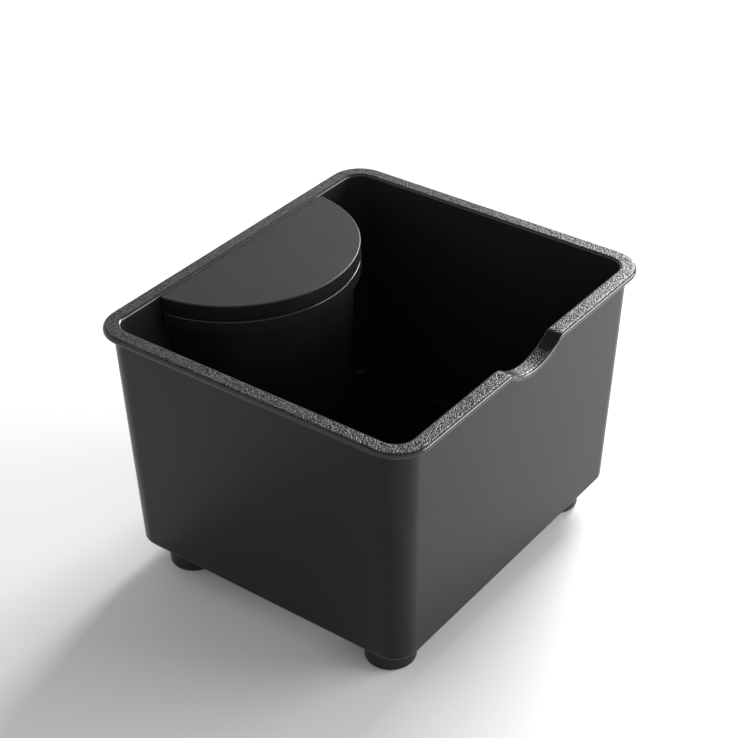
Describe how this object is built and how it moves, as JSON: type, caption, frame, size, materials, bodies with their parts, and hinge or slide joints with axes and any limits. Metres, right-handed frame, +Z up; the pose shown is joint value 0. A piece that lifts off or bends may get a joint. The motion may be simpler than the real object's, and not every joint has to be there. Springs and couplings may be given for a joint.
{
  "type": "espresso knock box",
  "caption": "Open countertop bin for spent espresso grounds, with a half-round rubber knock pad on a column at the back, a handle notch in the front rim and rubber feet.",
  "frame": {"origin": "middle of the bin in plan, on the surface that the feet stand on", "axes": "+Z up, +X along the longer side of the rim, +Y towards the wall with the knock pad, so the handle notch is on the -Y side"},
  "size_m": [0.175, 0.155, 0.1214],
  "materials": {
    "black_abs": "satin black ABS, pebbled on the top of the rim and smooth inside",
    "grey_rubber": "matte dark grey rubber",
    "black_rubber": "smooth black rubber",
    "zinc_steel": "zinc-plated steel"
  },
  "bodies": {
    "bin": {"bin_body": "black_abs", "knock_column": "black_abs", "foot_front_left": "black_rubber", "foot_front_right": "black_rubber", "foot_back_left": "black_rubber", "foot_back_right": "black_rubber", "foot_washer_front_left": "zinc_steel", "foot_washer_front_right": "zinc_steel", "foot_washer_back_left": "zinc_steel", "foot_washer_back_right": "zinc_steel", "foot_screw_front_left": "zinc_steel", "foot_screw_front_right": "zinc_steel", "foot_screw_back_left": "zinc_steel", "foot_screw_back_right": "zinc_steel", "column_washer_left": "zinc_steel", "column_washer_right": "zinc_steel", "column_washer_front": "zinc_steel", "column_screw_left": "zinc_steel", "column_screw_right": "zinc_steel", "column_screw_front": "zinc_steel"},
    "pad": {"knock_pad": "grey_rubber"}
  },
  "joints": [
    {"name": "pad_lift", "type": "slide", "parent": "bin", "child": "pad", "axis": [0, 0, 1], "range_m": [0, 0.04]}
  ]
}
